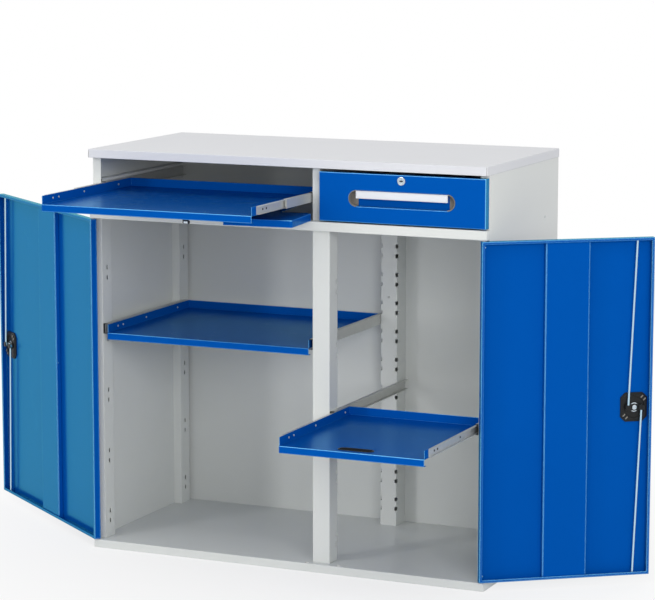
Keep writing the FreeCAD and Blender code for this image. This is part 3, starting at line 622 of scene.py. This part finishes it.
def add_rod_guides(door):
    """Guide plates round the rods, on the inside of the door's top and bottom edges."""
    hole = rounded_square(5.7 * MM, 3.6 * MM)
    plate = rounded_square(8.6 * MM, 4.9 * MM)
    places = []
    for level, drift, up in ((door.bottom + SHEET, 0.5, 1), (door.top - SHEET, -0.5, -1)):
        along = door.lock_reach + drift * door.lean * door.rod_sway
        point = Matrix.Translation((along, door.rod_line, level))
        places.append(door.place @ point @ Matrix.Diagonal((1, 1, up, 1)))
    add_turned(
        door.side + "_rod_guides", in_mm((hole, 0), (plate, 0), (plate, 2.2), (hole, 3.0)),
        places, door.body, rod_zinc, segments=40, closed=True,
    )


def add_stiffener_rivet(door):
    """Rivet in the side of the door's stiffener."""
    middle = door.inner_face - 7 * MM
    spot = Matrix.Translation((door.stiffener_edge, middle, STIFFENER_RIVET_LEVEL))
    turned = Matrix.Rotation(math.radians(-90), 4, "Y")
    add_heads(
        door.side + "_stiffener_rivet", rivet_head, 2.6 * MM, [door.place @ spot @ turned],
        door.body, door_blue_coat,
    )


def add_knuckle_bushes(door):
    """Bright bushes on the inner ends of the door's two hinge knuckles."""
    knuckle, height = 13.2 * MM, 3.0 * MM
    rings = in_mm((1.8, 0), (4.3, 0), (4.7, 0.5), (4.7, 2.5), (4.3, 3.0), (1.8, 3.0))
    levels = (door.bottom + knuckle, door.top - knuckle - height)
    add_turned(
        door.side + "_knuckle_bushes", rings,
        [door.place @ Matrix.Translation((0, 0, level)) for level in levels],
        door.body, rod_zinc, segments=32, closed=True,
    )


# Trays, slides, drawer and back


def add_tray_screws(node, body):
    """Screws through a tray's walls into its runners, seen on the inside."""
    low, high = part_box(node)
    level = high.z - 10.5 * MM
    places = []
    for setback in TRAY_SCREW_SETBACKS:
        for x, way in ((low.x + SHEET, 1), (high.x - SHEET, -1)):
            places.append(facing((x, low.y + setback, level), (way, 0, 0)))
    add_heads(node + "_screws", screw_head, 2.6 * MM, places, body, slide_zinc)


def add_runner_rivets(node, body):
    """Rivets inside a pair of runners, on the web against the tray's wall."""
    low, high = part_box(node)
    web = 6.0 * MM
    level = (low.z + high.z) / 2
    places = []
    for setback in RUNNER_RIVET_SETBACKS:
        for x, way in ((low.x + web, -1), (high.x - web, 1)):
            places.append(facing((x, low.y + setback, level), (way, 0, 0)))
    add_heads(node + "_rivets", rivet_head, 2.8 * MM, places, body, lock_black)


def paired_sections(node, section, start, run):
    """Mesh of one section in the front ends of a left and a right rail, facing each other."""
    low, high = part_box(node)
    level = (high.z + low.z) / 2
    mesh = bmesh.new()
    for wall, way in ((low.x, 1), (high.x, -1)):
        place = Matrix.Translation((wall, low.y, level)) @ Matrix.Diagonal((way, 1, 1, 1))
        extruded(mesh, section, start, run, place)
    return mesh


def add_rail_ends(node):
    """Plastic end clips that carry on the section of a pair of cabinet rails at their front."""
    low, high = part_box(node)
    half = (high.z - low.z) / 2
    web, flange, reach, run = 1.5 * MM, 1.2 * MM, 10.4 * MM, 6.5 * MM
    section = [
        (0, -half), (reach, -half), (reach, -half + flange), (web, -half + flange),
        (web, half - flange), (reach, half - flange), (reach, half), (0, half),
    ]
    mesh = paired_sections(node, section, -run, run)
    add_piece(node + "_end_clips", mesh, "carcass", lock_black, 0.25 * MM)


def add_middle_rail_stops(node, body):
    """Stops in the front ends of a pair of middle rails, which run inside the runners."""
    web, reach, half, corner = 1.2 * MM, 6.4 * MM, 8.2 * MM, 1.6 * MM
    setback, run = 0.4 * MM, 9.0 * MM
    section = [
        (web, -half), (reach - corner, -half), (reach, -half + corner),
        (reach, half - corner), (reach - corner, half), (web, half),
    ]
    mesh = paired_sections(node, section, setback, run)
    add_piece(node + "_stops", mesh, body, slide_zinc, 0.4 * MM)


def add_catch_roller():
    """Bright grooved roller on the nose of the keyboard tray's spring catch."""
    low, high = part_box("keyboard_catch")
    nose = 4.0 * MM
    place = facing(((low.x + high.x) / 2, low.y + nose, low.z + nose), (1, 0, 0))
    half = in_mm((0.05, 5.6), (0.4, 5.0), (0.6, 4.4), (0.6, 1.0), (0.2, 0.5))
    rings = [(nose + proud, -offset) for proud, offset in half]
    rings += [(nose + proud, offset) for proud, offset in reversed(half)]
    add_turned(
        "keyboard_catch_roller", rings, [place], "keyboard_pullout", lock_chrome,
        segments=40, closed=True,
    )


def add_worktop_seam_shades():
    """Dark strips in the worktop's folded front corners: painted shade of the open seams there."""
    low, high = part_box("worktop")
    half, drop, inset = 0.45 * MM, 21.0 * MM, 2.6 * MM
    proud, depth, below = 0.05 * MM, 0.4 * MM, 0.6 * MM
    shoulder, tip = drop - 2.0 * MM, drop - 1.4 * MM
    # Painted shade: a dark strip where the open seam lies in shade.
    seam_shade = [(-half, 0), (half, 0), (half, shoulder), (0, tip), (-half, shoulder)]
    mesh = bmesh.new()
    for x in (low.x + inset, high.x - inset):
        place = Matrix.Translation((x, low.y - proud, high.z - drop - below))
        extruded(mesh, seam_shade, 0, depth, place)
    add_piece("worktop_corner_seam_shades", mesh, "carcass", cap_taupe)


def add_shelf_grip_trim():
    """Black edge trim in the right shelf's hand slot."""
    low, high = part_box("right_shelf")
    half_length, radius, setback = 44.0 * MM, 13.0 * MM, 19.0 * MM
    floor = high.z - 21.0 * MM
    place = Matrix.Translation(((low.x + high.x) / 2, low.y + setback + radius, floor))
    mouth, skirt, flange, brow = (
        obround(half_length + wider * MM, radius + wider * MM) for wider in (-1.6, -0.2, 2.2, 1.2)
    )
    rings = in_mm(
        (mouth, -7.0), (skirt, -7.0), (skirt, 0.05), (flange, 0.05), (flange, 0.6), (brow, 1.2),
        (mouth, 1.0),
    )
    add_turned(
        "shelf_grip_trim", rings, [place], "shelf_pullout", lock_black,
        segments=96, closed=True,
    )


def add_drawer_lock_face():
    """Raised rim on the drawer's cylinder lock, and a black plate on its key slot that paints the slot's shade."""
    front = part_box("drawer_lock_barrel")[0].y
    middle = Vector(JOINTS["drawer_lock_turn"]["pos_m"])
    place = facing((middle.x, front, middle.z), (0, -1, 0))
    rim = in_mm((6.6, -0.2), (10.3, -0.2), (10.3, 0.3), (9.4, 0.9), (7.2, 0.9), (6.6, 0.5))
    add_turned(
        "drawer_lock_rim", rim, [place], "drawer_lock", lock_chrome,
        segments=48, closed=True,
    )
    # Painted shade: a black plate darkens the key slot.
    outline = rounded_square(4.6 * MM, 1.7 * MM)
    slot = in_mm((0, -0.2), (outline, -0.2), (outline, 0.12), (0, 0.05))
    add_turned(
        "drawer_lock_slot_shade", slot, [place], "drawer_lock", lock_black,
        segments=40,
    )


def add_label_card():
    """White card in the drawer's label holder."""
    low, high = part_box("drawer_label_bar")
    margin, recess, thickness, bevel = 1.4 * MM, 0.5 * MM, 0.6 * MM, 0.2 * MM
    half_width = (high.x - low.x) / 2 - margin
    half_height = (high.z - low.z) / 2 - margin
    centre = (low + high) / 2
    place = facing((centre.x, low.y + recess + thickness, centre.z), (0, -1, 0))
    outline = rounded_square(half_width, half_height, power=40)
    inset = rounded_square(half_width - bevel, half_height - bevel, power=40)
    rings = [(0, 0), (outline, 0), (outline, 0.7 * thickness), (inset, thickness), (0, thickness)]
    add_turned(
        "drawer_label_card", rings, [place], "drawer", label_white, segments=120
    )


def add_side_rivets():
    """Rivets through the side panels into the intermediate floor."""
    places = []
    for x, way in ((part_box("left_side_panel")[0].x, -1), (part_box("right_side_panel")[1].x, 1)):
        places.append(facing((x, SIDE_RIVET_DEPTH, SIDE_RIVET_LEVEL), (way, 0, 0)))
    add_heads(
        "side_panel_rivets", rivet_head, 3.2 * MM, places, "carcass", grey_coat,
    )


def add_rear_post_screws():
    """Screws in the front of the centre rear post."""
    low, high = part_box("centre_rear_post")
    middle = (low.x + high.x) / 2
    places = [facing((middle, low.y, level), (0, -1, 0)) for level in REAR_POST_SCREW_LEVELS]
    add_heads(
        "centre_rear_post_screws", screw_head, 3.0 * MM, places, "carcass", slide_zinc,
    )


def add_back_rivets():
    """Blind rivets that hold the back panel, seen from behind."""
    low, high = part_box("back_panel")
    edge, top_edge = 9 * MM, 32 * MM
    columns, rows = 9, 8
    left, bottom, top = low.x + edge, low.z + edge, high.z - top_edge
    spots = []
    for k in range(columns):
        x = left + (high.x - low.x - 2 * edge) * k / (columns - 1)
        spots += [(x, bottom), (x, top)]
    for k in range(1, rows):
        z = bottom + (top - low.z - edge) * k / rows
        spots += [(left, z), (high.x - edge, z)]
    places = [facing((x, high.y, z), (0, 1, 0)) for x, z in spots]
    add_heads(
        "back_panel_rivets", rivet_head, 3.4 * MM, places, "carcass", grey_coat,
    )


def add_fittings():
    """Every small fitting of the cabinet."""
    for door in (Door("left"), Door("right")):
        add_lock_case(door)
        add_lock_case_ribs(door)
        add_spindle_cap(door)
        add_rod_guides(door)
        add_stiffener_rivet(door)
        add_knuckle_bushes(door)
    add_tray_screws("keyboard_tray", "keyboard_pullout")
    add_tray_screws("printer_shelf", "printer_pullout")
    add_tray_screws("right_shelf", "shelf_pullout")
    add_runner_rivets("keyboard_runners", "keyboard_pullout")
    add_runner_rivets("printer_runners", "printer_pullout")
    add_runner_rivets("shelf_runners", "shelf_pullout")
    add_runner_rivets("drawer_runners", "drawer")
    for slide in ("keyboard", "printer", "shelf", "drawer"):
        add_rail_ends(slide + "_cabinet_rails")
    for slide in ("keyboard", "printer", "drawer"):
        add_middle_rail_stops(slide + "_middle_rails", slide + "_middle")
    add_catch_roller()
    add_worktop_seam_shades()
    add_shelf_grip_trim()
    add_drawer_lock_face()
    add_label_card()
    add_side_rivets()
    add_rear_post_screws()
    add_back_rivets()


# Studio


def seen_directly(wire):
    """One for rays that show the background: to the eye, in a reflection or through glass."""
    path = wire.add("LightPath", output="Is Camera Ray")
    return (path + path.out("Is Glossy Ray") + path.out("Is Transmission Ray")).limited()


def make_world(level):
    """White where it is seen, and an even light of the given level on everything else."""
    world = bpy.data.worlds.new("studio")
    world.use_nodes = True
    tree = world.node_tree
    background = tree.nodes["Background"]
    background.inputs["Color"].default_value = (1, 1, 1, 1)
    (seen_directly(Wire(tree)) * (1 - level) + level).into(background, "Strength")
    bpy.context.scene.world = world


def floor_finish():
    """Matt pale floor. It reads as white away from the cabinet, with a soft shadow around it."""
    material, shader, place = start_finish("studio_floor")
    shader.inputs["Base Color"].default_value = (0.82, 0.82, 0.82, 1)
    shader.inputs["Roughness"].default_value = 0.9
    shader.inputs["Specular IOR Level"].default_value = 0.0
    matt = Wire(material.node_tree, shader.outputs["BSDF"])
    white = place.add("Emission", inputs={"Color": (1, 1, 1, 1), "Strength": 1.0})
    away = place.add("VectorMath", {"operation": "LENGTH"}, {0: place}, output="Value")
    white_share = seen_directly(place) * (away * 0.25 + 0.60).limited()
    both = place.add("MixShader", inputs={0: white_share, 1: matt, 2: white})
    both.into(material.node_tree.nodes["Material Output"], "Surface")
    return material


def make_floor():
    mesh = bmesh.new()
    bmesh.ops.create_grid(mesh, x_segments=1, y_segments=1, size=60)
    data = bpy.data.meshes.new("studio_floor")
    mesh.to_mesh(data)
    mesh.free()
    data.materials.append(floor_finish())
    floor = bpy.data.objects.new("studio_floor", data)
    bpy.context.scene.collection.objects.link(floor)


def add_softbox(name, place, width, height, power, in_reflections=False):
    """Soft rectangular light, aimed at the middle of the cabinet."""
    middle = Vector((0, 0, 0.6))
    data = bpy.data.lights.new(name, "AREA")
    data.shape = "RECTANGLE"
    data.size = width
    data.size_y = height
    data.energy = power
    lamp = bpy.data.objects.new(name, data)
    lamp.location = place
    lamp.visible_glossy = in_reflections
    lamp.rotation_euler = (middle - Vector(place)).to_track_quat("-Z", "Y").to_euler()
    bpy.context.scene.collection.objects.link(lamp)


def make_studio():
    make_world(level=0.57)
    make_floor()
    # The pale worktop would clip to white where it mirrored a large lamp, so only the strip above
    # shows in reflections.
    add_softbox("front_key", (3.5, -4.2, 1.9), width=2.6, height=2.2, power=116)
    add_softbox("left_strip", (-2.6, -4.3, 1.9), width=0.5, height=3.0, power=54)
    add_softbox(
        "top_strip", (-0.4, -1.4, 3.2), width=3.0, height=0.35, power=16, in_reflections=True
    )
    add_softbox("rear_fill", (1.4, 4.0, 2.6), width=2.4, height=1.8, power=40)


def make_camera():
    """The photograph's view: from the front right, a little above the worktop."""
    data = bpy.data.cameras.new("photo_view")
    data.sensor_width = SENSOR_WIDTH
    data.lens = PHOTO_LENS
    data.clip_end = 200
    camera = bpy.data.objects.new("photo_view", data)
    camera.location = PHOTO_EYE
    camera.rotation_euler = (math.pi / 2 - PHOTO_LOOK_DOWN, 0, PHOTO_TURN)
    bpy.context.scene.collection.objects.link(camera)
    bpy.context.scene.camera = camera


coat_cad_nodes()
add_fittings()
make_studio()
make_camera()
bpy.context.scene.view_settings.view_transform = "Standard"
